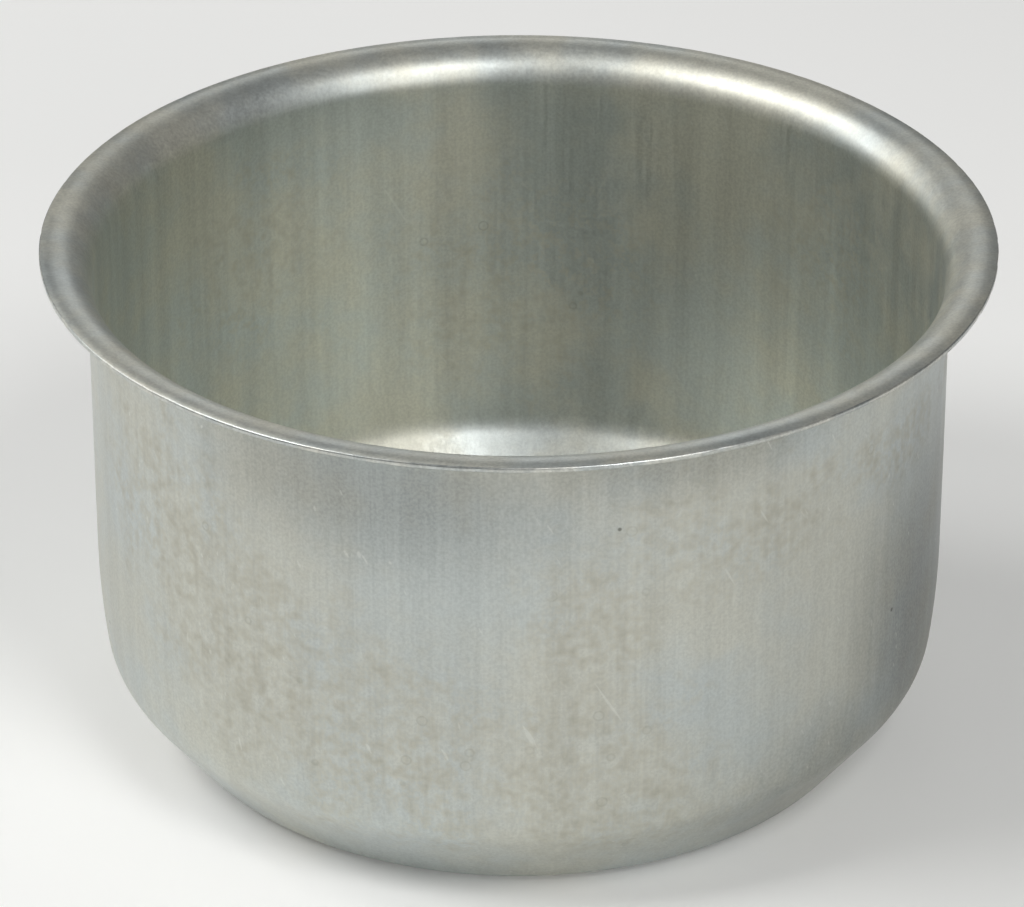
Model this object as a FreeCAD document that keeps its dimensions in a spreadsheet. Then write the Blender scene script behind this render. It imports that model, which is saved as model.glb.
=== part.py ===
import FreeCAD, Part
import math
import os
import Sketcher

# Deep drawn cup: one round blank drawn into a straight-walled cup in one piece.
# Origin at the centre of the base, +Z up along the axis of the draw.
# All lengths in millimetres. Radii of bends are those of the outer skin
# unless the name says otherwise.
DIMENSIONS = {
    "sheet_gauge": 0.8,        # thickness of the drawn sheet
    "cup_height": 78.9,        # base to top of the flange
    "wall_radius": 63.3,       # outside of the straight wall
    "flange_width": 6.7,       # from the outside of the wall to the trimmed edge
    "flange_bend": 5.6,        # top surface, from the flange down into the wall
    "shoulder_height": 30.1,   # where the wall starts to draw in
    "shoulder_radius": 114.0,  # long easing curve below the straight wall
    "bend_height": 16.1,       # where the easing curve meets the tighter bend
    "bend_radius": 8.4,        # bend from the wall into the bevelled lower band
    "base_radius": 48.5,       # flat part of the base
    "base_corner": 6.0,        # bend from the bevelled band into the base
    "edge_break": 0.15,        # bevel left on both corners of the trimmed edge by deburring
}
NODE = "cup_shell"

document = FreeCAD.newDocument("drawn_cup")

sheet = document.addObject("Spreadsheet::Sheet", "Dimensions")
for row, (alias, value) in enumerate(DIMENSIONS.items(), start=1):
    sheet.set("A%d" % row, alias)
    sheet.set("B%d" % row, str(value))
    sheet.setAlias("B%d" % row, alias)
document.recompute()


def size(alias):
    """A driving dimension, read back from the sheet."""
    return float(sheet.get(alias))


def point(x, z):
    """A place in the half section: x out from the axis, z up from the base."""
    return FreeCAD.Vector(x, z, 0)


def polar(centre, radius, degrees):
    """The point on a circle at an angle measured from the outward direction."""
    turn = math.radians(degrees)
    return centre + point(radius * math.cos(turn), radius * math.sin(turn))


def arc(centre, radius, start, end):
    """An arc of the half section, counterclockwise between two angles in degrees."""
    circle = Part.Circle(centre, FreeCAD.Vector(0, 0, 1), radius)
    return Part.ArcOfCircle(circle, math.radians(start), math.radians(end))


def line(start, end):
    return Part.LineSegment(start, end)


def bevel_angle(bend_centre, bend_radius, corner_centre, corner_radius):
    """How far the band that touches both bends on the outside leans from upright."""
    across = bend_centre - corner_centre
    lean = math.degrees(math.atan2(across.x, across.y))
    spread = math.degrees(math.asin((bend_radius - corner_radius) / across.Length))
    return lean + spread


# Starting geometry of the half section, already close to what the constraints ask
gauge = size("sheet_gauge")
top = size("cup_height")
wall = size("wall_radius")
rim = wall + size("flange_width")
flange_outer = size("flange_bend")
flange_inner = flange_outer - gauge
shoulder_outer = size("shoulder_radius")
bend_outer = size("bend_radius")
corner_outer = size("base_corner")
base = size("base_radius")

easing = size("shoulder_height") - size("bend_height")
wall_turn = math.degrees(math.asin(easing / shoulder_outer))
flange_centre = point(wall + flange_inner, top - flange_outer)
shoulder_centre = point(wall - shoulder_outer, size("shoulder_height"))
bend_start = polar(shoulder_centre, shoulder_outer, -wall_turn)
bend_centre = polar(bend_start, bend_outer, 180 - wall_turn)
corner_centre = point(base, corner_outer)
bevel = bevel_angle(bend_centre, bend_outer, corner_centre, corner_outer)


def skin(inset):
    """Arcs and lines from flange to base, set in from the outer skin by inset."""
    flange = flange_inner + inset
    shoulder = shoulder_outer - inset
    bend = bend_outer - inset
    corner = corner_outer - inset
    wall_top = polar(flange_centre, flange, 180)
    wall_foot = polar(shoulder_centre, shoulder, 0)
    bevel_top = polar(bend_centre, bend, -bevel)
    bevel_foot = polar(corner_centre, corner, -bevel)
    level = top - gauge + inset
    return {
        "flange": line(point(rim, level), point(flange_centre.x, level)),
        "flange_arc": arc(flange_centre, flange, 90, 180),
        "wall": line(wall_top, wall_foot),
        "shoulder_arc": arc(shoulder_centre, shoulder, -wall_turn, 0),
        "bend_arc": arc(bend_centre, bend, -bevel, -wall_turn),
        "bevel": line(bevel_top, bevel_foot),
        "corner_arc": arc(corner_centre, corner, -90, -bevel),
        "base": line(point(base, inset), point(0, inset)),
    }


def origin_plane(body, role):
    for feature in body.Origin.OriginFeatures:
        if feature.Role == role:
            return feature
    raise RuntimeError("no plane " + role)


body = document.addObject("PartDesign::Body", "CupShell")
body.Label = NODE

section = body.newObject("Sketcher::SketchObject", "HalfSection")
section.AttachmentSupport = [(origin_plane(body, "XZ_Plane"), "")]
section.MapMode = "FlatFace"

# Both skins of the sheet, then the two short lines that close the section
START, END, CENTRE = 1, 2, 3
ORIGIN = -1
outer = {name: section.addGeometry(shape, False) for name, shape in skin(0).items()}
inner = {name: section.addGeometry(shape, False) for name, shape in skin(gauge).items()}
trimmed_edge = section.addGeometry(line(point(rim, top), point(rim, top - gauge)), False)
on_axis = section.addGeometry(line(point(0, 0), point(0, gauge)), False)


def constrain(*terms):
    return section.addConstraint(Sketcher.Constraint(*terms))


def drive(name, formula, *terms):
    """A dimension of the section that follows the sheet."""
    index = constrain(*terms)
    section.renameConstraint(index, name)
    section.setExpression("Constraints." + name, formula)


# Each skin runs smoothly from flange to base, every joint tangent
JOINTS = (
    ("flange", END, "flange_arc", START),
    ("flange_arc", END, "wall", START),
    ("wall", END, "shoulder_arc", END),
    ("shoulder_arc", START, "bend_arc", END),
    ("bend_arc", START, "bevel", START),
    ("bevel", END, "corner_arc", END),
    ("corner_arc", START, "base", START),
)
for face in (outer, inner):
    for first, first_end, second, second_end in JOINTS:
        constrain("Tangent", face[first], first_end, face[second], second_end)
    constrain("Horizontal", face["flange"])
    constrain("Vertical", face["wall"])
    constrain("Horizontal", face["base"])
constrain("Vertical", trimmed_edge)
constrain("Vertical", on_axis)

# The section is closed at the trimmed edge and on the axis
constrain("Coincident", trimmed_edge, START, inner["flange"], START)
constrain("Coincident", trimmed_edge, END, outer["flange"], START)
constrain("Coincident", on_axis, START, outer["base"], END)
constrain("Coincident", on_axis, END, inner["base"], END)
constrain("Coincident", on_axis, START, ORIGIN, START)

# One gauge all round: both skins bend about the same centres
for bent in ("flange_arc", "shoulder_arc", "bend_arc", "corner_arc"):
    constrain("Coincident", inner[bent], CENTRE, outer[bent], CENTRE)

FROM_ORIGIN = (ORIGIN, START)
drive("gauge_at_edge", "Dimensions.sheet_gauge",
      "DistanceY", trimmed_edge, END, trimmed_edge, START, gauge)
drive("gauge_at_base", "Dimensions.sheet_gauge",
      "DistanceY", on_axis, START, on_axis, END, gauge)
drive("rim", "Dimensions.wall_radius + Dimensions.flange_width",
      "DistanceX", *FROM_ORIGIN, trimmed_edge, START, rim)
drive("height", "Dimensions.cup_height",
      "DistanceY", *FROM_ORIGIN, trimmed_edge, START, top)
drive("wall", "Dimensions.wall_radius",
      "DistanceX", *FROM_ORIGIN, outer["wall"], START, wall)
drive("flange_bend", "Dimensions.flange_bend",
      "Radius", inner["flange_arc"], flange_outer)
drive("shoulder_height", "Dimensions.shoulder_height",
      "DistanceY", *FROM_ORIGIN, outer["wall"], END, size("shoulder_height"))
drive("shoulder_radius", "Dimensions.shoulder_radius",
      "Radius", outer["shoulder_arc"], shoulder_outer)
drive("bend_height", "Dimensions.bend_height",
      "DistanceY", *FROM_ORIGIN, outer["bend_arc"], END, size("bend_height"))
drive("bend_radius", "Dimensions.bend_radius",
      "Radius", outer["bend_arc"], bend_outer)
drive("base_radius", "Dimensions.base_radius",
      "DistanceX", *FROM_ORIGIN, outer["corner_arc"], CENTRE, base)
drive("base_corner", "Dimensions.base_corner",
      "Radius", outer["corner_arc"], corner_outer)
document.recompute()
if not section.FullyConstrained:
    raise RuntimeError("the half section is not fully constrained")

# The drawn shape: the section turned once about the axis of the draw
drawn = body.newObject("PartDesign::Revolution", "Drawn")
drawn.Profile = (section, [""])
drawn.ReferenceAxis = (section, ["V_Axis"])
drawn.Angle = 360
document.recompute()


def trimmed_edges(shape):
    """The two circles round the trimmed edge of the flange."""
    names = []
    for number, edge in enumerate(shape.Edges, start=1):
        if isinstance(edge.Curve, Part.Circle) and abs(edge.Curve.Radius - rim) < gauge / 100:
            names.append("Edge%d" % number)
    return names


# Deburring takes the sharpness off both corners of the trimmed edge
deburred = body.newObject("PartDesign::Chamfer", "Deburred")
deburred.Base = (drawn, trimmed_edges(drawn.Shape))
deburred.setExpression("Size", "Dimensions.edge_break")
document.recompute()

for item in document.Objects:
    if "Invalid" in item.State or "Error" in item.State:
        raise RuntimeError(item.Name + " failed: " + ", ".join(item.State))
if body.Shape.isNull() or not body.Shape.isValid():
    raise RuntimeError(NODE + " has no valid shape")
if len(body.Shape.Solids) != 1:
    raise RuntimeError(NODE + " is not one solid")

os.makedirs("parts", exist_ok=True)
body.Shape.exportStep(os.path.join("parts", NODE + ".step"))

box = body.Shape.optimalBoundingBox()
print("%s: %.2f x %.2f x %.2f mm, %.0f mm3 of sheet, band leans %.1f degrees"
      % (NODE, box.XLength, box.YLength, box.ZLength, body.Shape.Volume, bevel))
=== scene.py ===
import math
import bmesh
import bpy
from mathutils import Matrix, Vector, noise


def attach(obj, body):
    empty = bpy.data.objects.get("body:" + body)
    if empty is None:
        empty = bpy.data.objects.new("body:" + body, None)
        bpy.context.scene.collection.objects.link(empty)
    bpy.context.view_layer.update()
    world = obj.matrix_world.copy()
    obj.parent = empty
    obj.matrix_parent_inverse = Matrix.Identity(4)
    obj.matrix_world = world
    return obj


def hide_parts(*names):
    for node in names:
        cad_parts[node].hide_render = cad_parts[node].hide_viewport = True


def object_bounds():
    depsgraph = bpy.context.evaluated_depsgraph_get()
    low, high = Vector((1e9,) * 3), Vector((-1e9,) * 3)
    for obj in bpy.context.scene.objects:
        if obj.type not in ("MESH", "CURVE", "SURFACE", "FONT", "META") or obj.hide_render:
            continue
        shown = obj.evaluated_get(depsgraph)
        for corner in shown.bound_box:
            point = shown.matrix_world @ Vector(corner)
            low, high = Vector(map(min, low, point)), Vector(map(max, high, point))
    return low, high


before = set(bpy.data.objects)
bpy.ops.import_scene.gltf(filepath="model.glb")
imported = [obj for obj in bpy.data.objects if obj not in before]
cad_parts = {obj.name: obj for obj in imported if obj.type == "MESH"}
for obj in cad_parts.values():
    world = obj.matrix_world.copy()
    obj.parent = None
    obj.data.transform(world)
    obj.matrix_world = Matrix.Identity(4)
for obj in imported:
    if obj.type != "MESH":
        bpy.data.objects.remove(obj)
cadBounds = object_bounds()
print("frame loaded")

mm = 0.001


def toLinear(hexColour, alpha=1.0):
    # sRGB hex to the linear values that the shaders want
    parts = [int(hexColour[i:i + 2], 16) / 255 for i in (1, 3, 5)]
    linear = [p / 12.92 if p <= 0.04045 else ((p + 0.055) / 1.055) ** 2.4 for p in parts]
    return (*linear, alpha)


def addNode(tree, kind, settings=None, links=None):
    # one node, its own values and sockets set from settings, its inputs joined from links
    node = tree.nodes.new(kind)
    for name, value in (settings or {}).items():
        if isinstance(name, str) and hasattr(node, name):
            setattr(node, name, value)
        else:
            node.inputs[name].default_value = value
    for name, source in (links or {}).items():
        tree.links.new(source, node.inputs[name])
    return node


def perMetre(size):
    # noise scale that gives features of this many millimetres
    return 1 / (size * mm)


# The cup's section in millimetres. The rim and the height come from the frame.
cup = {
    "rimRadius": cadBounds[1][0] / mm,
    "height": cadBounds[1][2] / mm,
    "gauge": 0.8,
    "wallRadius": 63.3,
    "flangeBend": 5.6,       # top skin
    "shoulderHeight": 30.1,
    "shoulderRadius": 114.0,
    "bendHeight": 16.1,
    "bendRadius": 8.4,
    "bevelLean": 37.8,       # degrees from upright
    "baseRadius": 48.5,
    "baseCorner": 6.0,
    "edgeBreak": 0.15,
    "turns": 480,            # steps round the axis
    "wallSteps": 10,
    "baseSteps": 4,
    "arcStep": 5.0,          # degrees
    "shoulderStep": 1.0,     # degrees, finer on the long easing curve
    "mergeUnder": 0.001,
}


def arcPoints(centre, radius, start, end, step):
    # points on a circle of the half section, both ends included
    count = max(2, math.ceil(abs(end - start) / step))
    angles = [math.radians(start + (end - start) * i / count) for i in range(count + 1)]
    return [(centre[0] + radius * math.cos(a), centre[1] + radius * math.sin(a)) for a in angles]


def skinPoints(inset):
    # one skin of the sheet from the flange down to the axis, inset 0 outside, gauge inside
    c = cup
    step = c["arcStep"]
    turn = math.degrees(math.asin((c["shoulderHeight"] - c["bendHeight"]) / c["shoulderRadius"]))
    flangeCentre = (c["wallRadius"] + c["flangeBend"] - c["gauge"], c["height"] - c["flangeBend"])
    shoulderCentre = (c["wallRadius"] - c["shoulderRadius"], c["shoulderHeight"])
    reach = c["shoulderRadius"] - c["bendRadius"]
    bendCentre = (shoulderCentre[0] + reach * math.cos(math.radians(turn)),
                  shoulderCentre[1] - reach * math.sin(math.radians(turn)))
    cornerCentre = (c["baseRadius"], c["baseCorner"])
    flange = arcPoints(flangeCentre, c["flangeBend"] - c["gauge"] + inset, 90, 180, step)
    wallTop = flange[-1]
    shoulder = arcPoints(shoulderCentre, c["shoulderRadius"] - inset, 0, -turn,
                         c["shoulderStep"])
    wallFoot = shoulder[0]
    wall = [(wallTop[0], wallTop[1] + (wallFoot[1] - wallTop[1]) * i / c["wallSteps"])
            for i in range(1, c["wallSteps"])]
    bend = arcPoints(bendCentre, c["bendRadius"] - inset, -turn, -c["bevelLean"], step)
    corner = arcPoints(cornerCentre, c["baseCorner"] - inset, -c["bevelLean"], -90, step)
    base = [(c["baseRadius"] * i / c["baseSteps"], inset) for i in reversed(range(c["baseSteps"]))]
    return flange + wall + shoulder[:-1] + bend + corner + base


def halfSection():
    # outer skin from the axis up to the flange, round the trimmed edge, inner skin back down
    c = cup
    top = c["height"]
    edge = c["edgeBreak"]
    outer = skinPoints(0.0)[::-1]
    inner = skinPoints(c["gauge"])
    trimmed = [(c["rimRadius"] - edge, top - c["gauge"]), (c["rimRadius"], top - c["gauge"] + edge),
               (c["rimRadius"], top - edge), (c["rimRadius"] - edge, top)]
    return outer, trimmed, inner


marks = {
    "ripple": 0.14,          # deepest inward wave left in the wall by the draw
    "rippleSize": 24.0,      # across
    "fadeFoot": 0.25,        # share of the height over which the waves start
    "fadeRim": 0.125,        # and end
    "nick": 0.16,            # deepest nick in the trimmed edge
    "nickSize": 2.2,
    "nickFrom": 0.18,        # noise level at which nicks start, higher is fewer
    "nickReach": 0.95,       # share of the flange's width beyond which nicks lie
    "edgeWave": 0.12,        # how far the flange's edge droops at most
    "edgeWaveSize": 30.0,
    "edgeWaveStart": 7.0,    # another number gives other waves
    "flangeFrom": 0.9,       # share of the height above which the flange lies
}


def markVert(vert):
    # the press leaves the wall slightly wavy and the trimmed edge nicked, always inward or down
    c, m = cup, marks
    place = vert.co.copy()
    across = Vector((place.x, place.y, 0))
    if across.length < c["baseRadius"] * mm:
        return
    outward = across.normalized()
    height = place.z / (c["height"] * mm)
    fade = min(1, height / m["fadeFoot"]) * min(1, (1 - height) / m["fadeRim"])
    wave = 0.5 + 0.5 * noise.noise(place / (m["rippleSize"] * mm))
    vert.co -= outward * m["ripple"] * mm * max(0, fade) * wave
    outer = (across.length / mm - c["wallRadius"]) / (c["rimRadius"] - c["wallRadius"])
    if height > m["flangeFrom"] and outer > 0:
        start = Vector((m["edgeWaveStart"], 0, 0))
        droop = 0.5 + 0.5 * noise.noise(outward * c["rimRadius"] / m["edgeWaveSize"] + start)
        vert.co.z -= m["edgeWave"] * mm * outer * droop
        if outer > m["nickReach"]:
            chip = noise.noise(place / (m["nickSize"] * mm)) - m["nickFrom"]
            vert.co -= outward * m["nick"] * mm * max(0, chip) / (1 - m["nickFrom"])


def skinOf(face):
    # 0 outside of the cup, 1 inside with the top of the flange, 2 the trimmed edge
    centre = face.calc_center_median()
    across = Vector((centre.x, centre.y, 0))
    if across.length > (cup["rimRadius"] - cup["edgeBreak"]) * mm:
        return 2
    if across.length == 0:
        return 1 if face.normal.z > 0 else 0
    return 1 if face.normal.z - face.normal.dot(across.normalized()) > 0 else 0


def makeCup():
    outer, trimmed, inner = halfSection()
    bm = bmesh.new()
    section = outer + trimmed + inner
    verts = [bm.verts.new((x * mm, 0, z * mm)) for x, z in section]
    edges = [bm.edges.new(pair) for pair in zip(verts, verts[1:])]
    bmesh.ops.spin(bm, geom=verts + edges, axis=(0, 0, 1), cent=(0, 0, 0), dvec=(0, 0, 0),
                   angle=2 * math.pi, steps=cup["turns"], use_merge=True)
    bmesh.ops.remove_doubles(bm, verts=bm.verts, dist=cup["mergeUnder"] * mm)
    bmesh.ops.recalc_face_normals(bm, faces=bm.faces)
    for face in bm.faces:
        face.material_index = skinOf(face)
    for vert in bm.verts:
        markVert(vert)
    mesh = bpy.data.meshes.new("drawnCup")
    bm.to_mesh(mesh)
    bm.free()
    mesh.shade_smooth()
    piece = bpy.data.objects.new("drawnCup", mesh)
    bpy.context.scene.collection.objects.link(piece)
    return piece


# Drawn stainless steel, annealed and pickled to a pale satin grey: broad soft highlights, no mirror
# image. The draw leaves fine upright lines, wet storage leaves beige mottling and small ringed spots.
# Sizes are in millimetres. A patch is an ellipsoid: its centre, and its half widths.
outside = {
    "cool": "#c2c8c6",
    "warm": "#cbccc3",
    "cloud": 26.0,                        # size of the cool and warm clouds
    "cloudEdge": (0.36, 0.64),            # noise levels between which cool turns to warm
    "streak": 3.2,
    "streakDepth": 0.07,                  # how much darker a streak is, as a share
    "line": 0.55,                         # drawn a little coarser than the real 0.1 mm lines
    "lineDepth": 0.07,
    "grain": 0.45,
    "grainDepth": 0.06,
    "stretch": 0.03,                      # how little streaks and lines change along the height
    "span": (0.3, 0.7),                   # noise levels that count as darkest and lightest
    "stain": "#c1bfb2",
    "stainAmount": 0.5,
    "stainCore": "#b3b0a2",
    "coreAmount": 0.38,
    "stainGrain": 1.8,
    "stainShare": 0.50,                   # noise level at the edge of a grain, higher is fewer
    "stainEdge": (-0.06, 0.03),
    "coreEdge": (0.06, 0.12),
    "strayStains": 0.18,                  # stains outside the patches
    "strayEdge": (0.35, 0.75),
    "ragged": 9.0,                        # size of the raggedness of a patch's edge
    "stainRagged": 2.6,
    # edge raggedness of the painted shade patches
    "paintedShadeRagged": 0.4,
    "patchEdge": (1.3, 0.25),             # distance in half widths where a patch starts and is full
    "ringGap": 5.5,
    "ring": 0.75,
    "ringWidth": 0.22,
    "ringChosen": (0.45, 0.55),
    "ringFrom": (0.1, 0.7),
    "ringAmount": 0.35,
    "ringColour": "#a9a99d",
    "pitGap": 17.0,
    "pit": 0.33,
    "pitEdge": (1.3, 0.5),
    "pitAmount": 0.8,
    "pitColour": "#6f7069",
    "scratchWidth": 0.9,
    "scratchLength": 30.0,                # in widths
    "scratchTurn": (0, 1.05, 0.35),       # slanting across the draw lines
    "scratchLevel": 0.74,                 # higher is fewer
    "scratchEdge": 0.05,
    "scratchAmount": 0.3,
    "scratchColour": "#e2e4de",
    "roughness": 0.42,
    "roughSpread": 0.10,
    "roughLine": 0.03,
    "roughStain": 0.06,
    "dent": 9.0,
    "dentHeight": 0.022,
    "lineHeight": 0.006,
    "stainDip": -0.6,                     # stains are etched in, as a share of the line height
    "stains": [
        {"at": (-50, -38, 54), "size": (20, 20, 18)},
        {"at": (-38, -50, 38), "size": (24, 20, 21)},
        {"at": (-18, -60, 27), "size": (26, 20, 19)},
        {"at": (10, -62, 24), "size": (22, 18, 20)},
        {"at": (11, -62, 48), "size": (12, 18, 16)},
        {"at": (30, -55, 60), "size": (27, 20, 12)},
        {"at": (55, -30, 62), "size": (16, 18, 7)},
        {"at": (20, 60, 34), "size": (30, 18, 16)},
        {"at": (60, 20, 30), "size": (16, 28, 14)},
        {"at": (-45, 42, 58), "size": (18, 20, 13)},
    ],
    # patches of painted shade, darkening the colour where the cup mirrors dark surroundings and shadow;
    # depth is how much darker, as a share
    "dull": [
        {"at": (-22, -60, 72), "size": (36, 20, 16), "depth": 0.26},
        {"at": (24, -59, 76), "size": (36, 18, 9), "depth": 0.24},
        {"at": (61, -16, 28), "size": (20, 32, 44), "depth": 0.42},
        {"at": (46, -40, 10), "size": (26, 24, 17), "depth": 0.24},
        {"at": (0, 60, 68), "size": (44, 18, 9), "depth": 0.12},
    ],
}

# The inside is painted paler than the outside, its stains too: painted light that lifts the shaded hollow.
# It has longer, stronger streaks.
inside = dict(
    outside, cool="#d6dcd9", warm="#e2e1d4", cloud=22.0, streak=4.6, streakDepth=0.12,
    lineDepth=0.05, stainShare=0.54, ringGap=9.0, pitGap=23.0, roughness=0.46,
    stain="#d6d4c6", stainCore="#c9c6b6",
    stains=[
        {"at": (0, 60, 40), "size": (26, 16, 22)},
        {"at": (-40, 46, 50), "size": (18, 18, 20)},
        {"at": (48, 38, 55), "size": (14, 18, 14)},
        {"at": (20, -55, 30), "size": (24, 20, 16)},
        {"at": (-15, 10, 0), "size": (30, 22, 12)},
    ],
    # patches of painted shade on the inner back wall, darkening the colour
    dull=[
        {"at": (-14, 61, 42), "size": (12, 16, 22), "depth": 0.10},
        {"at": (32, 52, 46), "size": (17, 18, 24), "depth": 0.12},
    ],
)

# The trimmed edge is sheared metal, brighter, with short marks that run any way.
trimmed = dict(
    outside, cool="#c3c8c6", warm="#d8d8d0", cloud=6.0, streak=1.2, streakDepth=0.16, stretch=1.0,
    lineDepth=0.10, roughness=0.36, stains=[], dull=[], scratchLevel=0.66, stainShare=0.60,
)


def deepestPatch(tree, steel, position, patches, wobble, ragged):
    # how deep in the nearest of several soft patches a point lies, with more or less ragged edges
    shift = addNode(tree, "ShaderNodeMath", {
        "operation": "MULTIPLY_ADD", 1: ragged, 2: -ragged / 2}, {0: wobble}).outputs[0]
    deepest = None
    for patch in patches:
        moved = addNode(tree, "ShaderNodeVectorMath", {
            "operation": "SUBTRACT", 1: [v * mm for v in patch["at"]]}, {0: position})
        scaled = addNode(tree, "ShaderNodeVectorMath", {
            "operation": "DIVIDE", 1: [v * mm for v in patch["size"]]}, {0: moved.outputs[0]})
        far = addNode(tree, "ShaderNodeVectorMath", {"operation": "LENGTH"}, {0: scaled.outputs[0]})
        edge = addNode(tree, "ShaderNodeMath", {"operation": "ADD"}, {
            0: far.outputs["Value"], 1: shift})
        depth = addNode(tree, "ShaderNodeMapRange", {
            "interpolation_type": "SMOOTHSTEP",
            "From Min": steel["patchEdge"][0], "From Max": steel["patchEdge"][1],
            "To Min": 0.0, "To Max": patch.get("depth", 1.0)}, {"Value": edge.outputs[0]}).outputs[0]
        if deepest is not None:
            depth = addNode(tree, "ShaderNodeMath", {"operation": "MAXIMUM"}, {
                0: deepest, 1: depth}).outputs[0]
        deepest = depth
    return deepest


def drawnShade(tree, steel, position, line, wobble):
    # light and dark of streaks, draw lines and grain, less the painted shade of the darkened patches, 1
    # where the metal is clean
    low, high = steel["span"]
    upright = addNode(tree, "ShaderNodeMapping", {"Scale": (1, 1, steel["stretch"])}, {
        "Vector": position}).outputs[0]
    streak = addNode(tree, "ShaderNodeTexNoise", {
        "Scale": perMetre(steel["streak"]), "Detail": 4.0, "Roughness": 0.62}, {
        "Vector": upright}).outputs["Fac"]
    grain = addNode(tree, "ShaderNodeTexNoise", {
        "Scale": perMetre(steel["grain"]), "Detail": 2.0, "Roughness": 0.6}, {
        "Vector": position}).outputs["Fac"]
    shade = None
    for source, dark, light in ((streak, 1 - steel["streakDepth"], 1.0),
                                (line, -steel["lineDepth"], 0.0),
                                (grain, -steel["grainDepth"], steel["grainDepth"])):
        part = addNode(tree, "ShaderNodeMapRange", {
            "interpolation_type": "SMOOTHSTEP", "From Min": low, "From Max": high,
            "To Min": dark, "To Max": light}, {"Value": source}).outputs[0]
        if shade is not None:
            part = addNode(tree, "ShaderNodeMath", {"operation": "ADD"}, {0: shade, 1: part}).outputs[0]
        shade = part
    # the painted shade patches darken the tone here
    if steel["dull"]:
        dull = deepestPatch(tree, steel, position, steel["dull"], wobble, steel["paintedShadeRagged"])
        shade = addNode(tree, "ShaderNodeMath", {"operation": "SUBTRACT"}, {0: shade, 1: dull}).outputs[0]
    return addNode(tree, "ShaderNodeCombineColor", {}, {
        "Red": shade, "Green": shade, "Blue": shade}).outputs[0]


def stainCrowd(tree, steel, position, wobble):
    # how thickly stains crowd: full inside the patches, a few strays elsewhere
    crowd = addNode(tree, "ShaderNodeMapRange", {
        "interpolation_type": "SMOOTHSTEP",
        "From Min": steel["strayEdge"][0], "From Max": steel["strayEdge"][1],
        "To Min": 0.0, "To Max": steel["strayStains"]}, {"Value": wobble}).outputs[0]
    if steel["stains"]:
        patches = deepestPatch(tree, steel, position, steel["stains"], wobble, steel["stainRagged"])
        crowd = addNode(tree, "ShaderNodeMath", {"operation": "MAXIMUM"}, {
            0: patches, 1: crowd}).outputs[0]
    return crowd


def stainMarks(tree, steel, position, crowd):
    # beige grains and their darker cores
    blotch = addNode(tree, "ShaderNodeTexNoise", {
        "Scale": perMetre(steel["stainGrain"]), "Detail": 6.0, "Roughness": 0.68}, {
        "Vector": position}).outputs["Fac"]
    found = []
    for edge in (steel["stainEdge"], steel["coreEdge"]):
        grains = addNode(tree, "ShaderNodeMapRange", {
            "interpolation_type": "SMOOTHSTEP",
            "From Min": steel["stainShare"] + edge[0], "From Max": steel["stainShare"] + edge[1]}, {
            "Value": blotch})
        found.append(addNode(tree, "ShaderNodeMath", {"operation": "MULTIPLY"}, {
            0: grains.outputs[0], 1: crowd}).outputs[0])
    return found


def ringMarks(tree, steel, position, crowd):
    # the rims that dried drops leave, round some of the cells and only where stains crowd
    cells = addNode(tree, "ShaderNodeTexVoronoi", {"Scale": perMetre(steel["ringGap"])}, {
        "Vector": position})
    distance = addNode(tree, "ShaderNodeMath", {"operation": "MULTIPLY", 1: steel["ringGap"]}, {
        0: cells.outputs["Distance"]})
    away = addNode(tree, "ShaderNodeMath", {"operation": "SUBTRACT", 1: steel["ring"]}, {
        0: distance.outputs[0]})
    away = addNode(tree, "ShaderNodeMath", {"operation": "ABSOLUTE"}, {0: away.outputs[0]})
    rim = addNode(tree, "ShaderNodeMapRange", {
        "interpolation_type": "SMOOTHSTEP", "From Min": steel["ringWidth"], "From Max": 0.0}, {
        "Value": away.outputs[0]})
    chosen = addNode(tree, "ShaderNodeMapRange", {
        "interpolation_type": "SMOOTHSTEP",
        "From Min": steel["ringChosen"][0], "From Max": steel["ringChosen"][1]}, {
        "Value": cells.outputs["Color"]})
    near = addNode(tree, "ShaderNodeMapRange", {
        "interpolation_type": "SMOOTHSTEP",
        "From Min": steel["ringFrom"][0], "From Max": steel["ringFrom"][1],
        "To Max": steel["ringAmount"]}, {"Value": crowd})
    some = addNode(tree, "ShaderNodeMath", {"operation": "MULTIPLY"}, {
        0: rim.outputs[0], 1: chosen.outputs[0]})
    return addNode(tree, "ShaderNodeMath", {"operation": "MULTIPLY"}, {
        0: some.outputs[0], 1: near.outputs[0]}).outputs[0]


def pitMarks(tree, steel, position):
    # a few dark corrosion pits
    cells = addNode(tree, "ShaderNodeTexVoronoi", {"Scale": perMetre(steel["pitGap"])}, {
        "Vector": position})
    distance = addNode(tree, "ShaderNodeMath", {"operation": "MULTIPLY", 1: steel["pitGap"]}, {
        0: cells.outputs["Distance"]})
    return addNode(tree, "ShaderNodeMapRange", {
        "interpolation_type": "SMOOTHSTEP",
        "From Min": steel["pit"] * steel["pitEdge"][0], "From Max": steel["pit"] * steel["pitEdge"][1],
        "To Max": steel["pitAmount"]}, {"Value": distance.outputs[0]}).outputs[0]


def scratchMarks(tree, steel, position):
    # thin pale handling scratches
    slanted = addNode(tree, "ShaderNodeMapping", {
        "vector_type": "TEXTURE", "Rotation": steel["scratchTurn"],
        "Scale": (steel["scratchLength"], 1, 1)}, {"Vector": position})
    threads = addNode(tree, "ShaderNodeTexNoise", {
        "Scale": perMetre(steel["scratchWidth"]), "Detail": 1.0, "Roughness": 0.4}, {
        "Vector": slanted.outputs[0]})
    return addNode(tree, "ShaderNodeMapRange", {
        "interpolation_type": "SMOOTHSTEP", "From Min": steel["scratchLevel"],
        "From Max": steel["scratchLevel"] + steel["scratchEdge"],
        "To Max": steel["scratchAmount"]}, {"Value": threads.outputs["Fac"]}).outputs[0]


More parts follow.
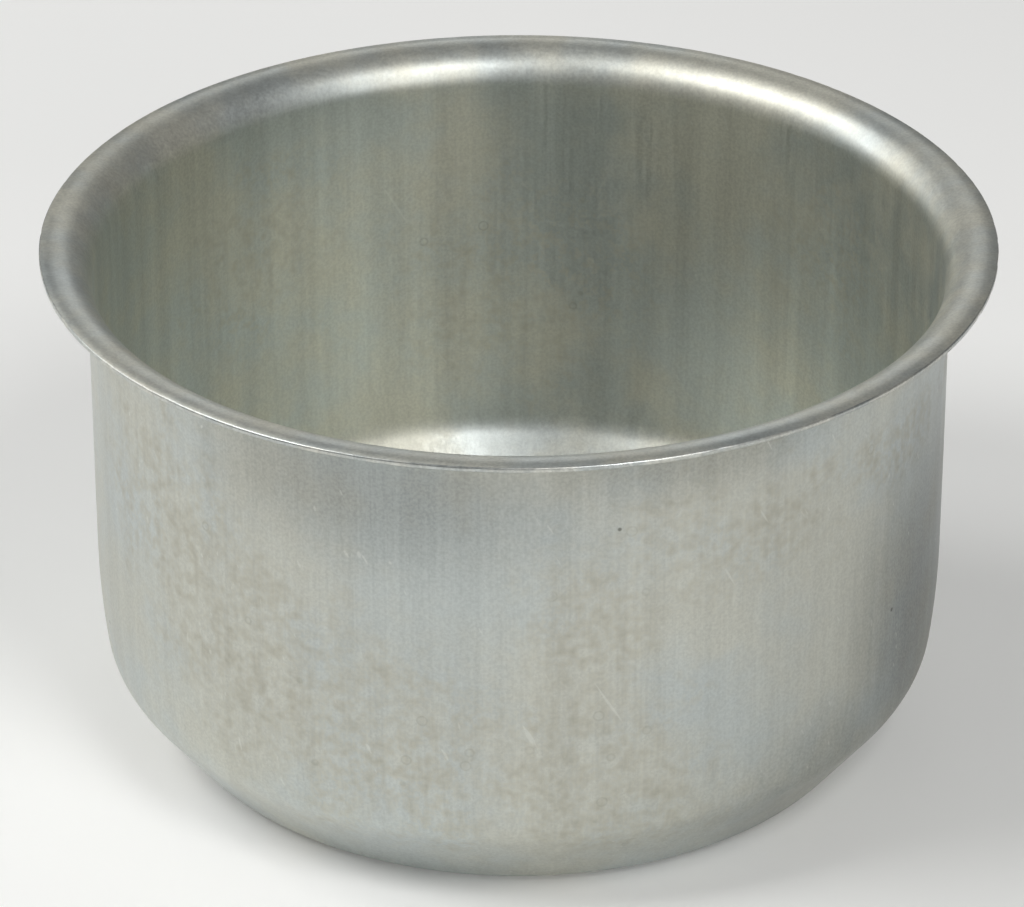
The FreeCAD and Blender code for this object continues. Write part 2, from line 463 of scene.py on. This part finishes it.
def steelRoughness(tree, steel, cloud, line, mottle):
    low, high = steel["span"]
    half = steel["roughSpread"] / 2
    broad = addNode(tree, "ShaderNodeMapRange", {
        "interpolation_type": "SMOOTHSTEP", "From Min": low, "From Max": high,
        "To Min": steel["roughness"] - half, "To Max": steel["roughness"] + half}, {"Value": cloud})
    lines = addNode(tree, "ShaderNodeMapRange", {
        "interpolation_type": "SMOOTHSTEP", "From Min": low, "From Max": high,
        "To Min": -steel["roughLine"], "To Max": steel["roughLine"]}, {"Value": line})
    both = addNode(tree, "ShaderNodeMath", {"operation": "ADD"}, {
        0: broad.outputs[0], 1: lines.outputs[0]})
    return addNode(tree, "ShaderNodeMath", {"operation": "MULTIPLY_ADD", 1: steel["roughStain"]}, {
        0: mottle, 2: both.outputs[0]}).outputs[0]


def steelRelief(tree, steel, position, line, mottle):
    # shallow dents under the fine draw lines, with the stains etched in
    dent = addNode(tree, "ShaderNodeTexNoise", {
        "Scale": perMetre(steel["dent"]), "Detail": 2.0, "Roughness": 0.5}, {"Vector": position})
    lines = addNode(tree, "ShaderNodeMath", {"operation": "MULTIPLY_ADD", 1: steel["stainDip"]}, {
        0: mottle, 2: line})
    soft = addNode(tree, "ShaderNodeBump", {"Strength": 1.0, "Distance": steel["dentHeight"] * mm}, {
        "Height": dent.outputs["Fac"]})
    return addNode(tree, "ShaderNodeBump", {"Strength": 1.0, "Distance": steel["lineHeight"] * mm}, {
        "Height": lines.outputs[0], "Normal": soft.outputs[0]}).outputs[0]


def makeSteel(name, steel):
    material = bpy.data.materials.new(name)
    material.use_nodes = True
    tree = material.node_tree
    tree.nodes.clear()
    position = addNode(tree, "ShaderNodeTexCoord").outputs["Object"]
    upright = addNode(tree, "ShaderNodeMapping", {"Scale": (1, 1, steel["stretch"])}, {
        "Vector": position}).outputs[0]
    cloud = addNode(tree, "ShaderNodeTexNoise", {
        "Scale": perMetre(steel["cloud"]), "Detail": 4.0, "Roughness": 0.6}, {
        "Vector": position}).outputs["Fac"]
    line = addNode(tree, "ShaderNodeTexNoise", {
        "Scale": perMetre(steel["line"]), "Detail": 3.0, "Roughness": 0.6}, {
        "Vector": upright}).outputs["Fac"]
    wobble = addNode(tree, "ShaderNodeTexNoise", {
        "Scale": perMetre(steel["ragged"]), "Detail": 5.0, "Roughness": 0.65}, {
        "Vector": position}).outputs["Fac"]
    warmth = addNode(tree, "ShaderNodeMapRange", {
        "interpolation_type": "SMOOTHSTEP",
        "From Min": steel["cloudEdge"][0], "From Max": steel["cloudEdge"][1]}, {"Value": cloud})
    crowd = stainCrowd(tree, steel, position, wobble)
    mottle, core = stainMarks(tree, steel, position, crowd)

    # sockets 6 and 7 are the two colours of a colour mix, and its result is output 2
    colour = addNode(tree, "ShaderNodeMix", {
        "data_type": "RGBA", 6: toLinear(steel["cool"]), 7: toLinear(steel["warm"])}, {
        "Factor": warmth.outputs[0]}).outputs[2]
    for amount, mark, markColour in ((steel["stainAmount"], mottle, "stain"),
                                     (steel["coreAmount"], core, "stainCore"),
                                     (1.0, ringMarks(tree, steel, position, crowd), "ringColour"),
                                     (1.0, pitMarks(tree, steel, position), "pitColour")):
        factor = addNode(tree, "ShaderNodeMath", {"operation": "MULTIPLY", 1: amount}, {0: mark})
        colour = addNode(tree, "ShaderNodeMix", {
            "data_type": "RGBA", 7: toLinear(steel[markColour])}, {
            "Factor": factor.outputs[0], 6: colour}).outputs[2]
    # the draw marks and the painted shade darken the colour
    shade = drawnShade(tree, steel, position, line, wobble)
    colour = addNode(tree, "ShaderNodeMix", {
        "data_type": "RGBA", "blend_type": "MULTIPLY", "Factor": 1.0}, {
        6: colour, 7: shade}).outputs[2]
    colour = addNode(tree, "ShaderNodeMix", {
        "data_type": "RGBA", 7: toLinear(steel["scratchColour"])}, {
        "Factor": scratchMarks(tree, steel, position), 6: colour}).outputs[2]

    shader = addNode(tree, "ShaderNodeBsdfPrincipled", {"Metallic": 1.0}, {
        "Base Color": colour,
        "Roughness": steelRoughness(tree, steel, cloud, line, mottle),
        "Normal": steelRelief(tree, steel, position, line, mottle)})
    addNode(tree, "ShaderNodeOutputMaterial", links={"Surface": shader.outputs["BSDF"]})
    return material


drawnCup = makeCup()
drawnCup.data.materials.append(makeSteel("drawnStainlessOutside", outside))
drawnCup.data.materials.append(makeSteel("drawnStainlessInside", inside))
drawnCup.data.materials.append(makeSteel("shearedStainlessEdge", trimmed))
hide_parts("cup_shell")
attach(drawnCup, "root")
print("cup made")

# Floor, light and camera. The floor is matt white paper, which gives soft even shadows.
stage = {
    "floorSize": 6.0,        # metres
    "floor": "#f4f4f2",
    "floorRoughness": 0.9,
    "sky": 0.20,
    "glow": 0.08,            # lifts the floor towards white where it is seen or mirrored
}


def makeFloor():
    bm = bmesh.new()
    bmesh.ops.create_grid(bm, x_segments=1, y_segments=1, size=stage["floorSize"] / 2)
    mesh = bpy.data.meshes.new("floor")
    bm.to_mesh(mesh)
    bm.free()
    floor = bpy.data.objects.new("floor", mesh)
    bpy.context.scene.collection.objects.link(floor)
    material = bpy.data.materials.new("whitePaper")
    material.use_nodes = True
    shader = material.node_tree.nodes["Principled BSDF"]
    shader.inputs["Base Color"].default_value = toLinear(stage["floor"])
    shader.inputs["Roughness"].default_value = stage["floorRoughness"]
    tree = material.node_tree
    path = addNode(tree, "ShaderNodeLightPath")
    seen = addNode(tree, "ShaderNodeMath", {"operation": "ADD"},
                   {0: path.outputs["Is Camera Ray"], 1: path.outputs["Is Glossy Ray"]})
    seen = addNode(tree, "ShaderNodeMath", {"operation": "ADD"},
                   {0: seen.outputs[0], 1: path.outputs["Is Transmission Ray"]})
    glow = addNode(tree, "ShaderNodeMath", {"operation": "MULTIPLY", 1: stage["glow"]}, {0: seen.outputs[0]})
    shader.inputs["Emission Color"].default_value = toLinear(stage["floor"])
    tree.links.new(glow.outputs[0], shader.inputs["Emission Strength"])
    mesh.materials.append(material)


def makeSky():
    world = bpy.data.worlds.new("studio")
    bpy.context.scene.world = world
    world.use_nodes = True
    background = world.node_tree.nodes["Background"]
    background.inputs["Color"].default_value = (1, 1, 1, 1)
    background.inputs["Strength"].default_value = stage["sky"]


# where each lamp stands round the cup and up from level, in degrees, and its power in watts
lamps = {
    "window": {"round": -70, "up": 50, "power": 5.0},
    "windowFar": {"round": -110, "up": 50, "power": 2.5},
    "windowLow": {"round": -110, "up": 22, "power": 2.0},
    "front": {"round": 30, "up": 50, "power": 4.0},
    "frontLow": {"round": 30, "up": 22, "power": 2.5},
    "behind": {"round": 180, "up": 22, "power": 0.5},
}
softBox = {"distance": 1.25, "size": 0.45}      # metres, the same for every lamp


def makeLamp(name, lamp):
    light = bpy.data.lights.new(name, "AREA")
    light.shape = "DISK"
    light.size = softBox["size"]
    light.energy = lamp["power"]
    holder = bpy.data.objects.new(name, light)
    around, up = math.radians(lamp["round"]), math.radians(lamp["up"])
    distance, middle = softBox["distance"], cup["height"] * mm / 2
    holder.location = (distance * math.cos(up) * math.sin(around),
                       -distance * math.cos(up) * math.cos(around), distance * math.sin(up) + middle)
    holder.rotation_euler = (math.pi / 2 - up, 0, around)
    bpy.context.scene.collection.objects.link(holder)


view = {
    "back": 700.0,           # millimetres in front of the axis
    "above": 352.6,          # above the rim
    "down": 29.08,           # degrees below level
    "lens": 188.27,
    "aside": -0.0066,        # the cup stands a little right of the middle
}


def makeCamera():
    camera = bpy.data.cameras.new("camera")
    camera.sensor_width = 36
    camera.lens = view["lens"]
    camera.shift_x = view["aside"]
    holder = bpy.data.objects.new("camera", camera)
    holder.location = (0, -view["back"] * mm, (cup["height"] + view["above"]) * mm)
    holder.rotation_euler = (math.radians(90 - view["down"]), 0, 0)
    bpy.context.scene.collection.objects.link(holder)
    bpy.context.scene.camera = holder


makeFloor()
makeSky()
for name, lamp in lamps.items():
    makeLamp(name, lamp)
makeCamera()
bpy.context.scene.view_settings.view_transform = "Standard"
print("stage set")
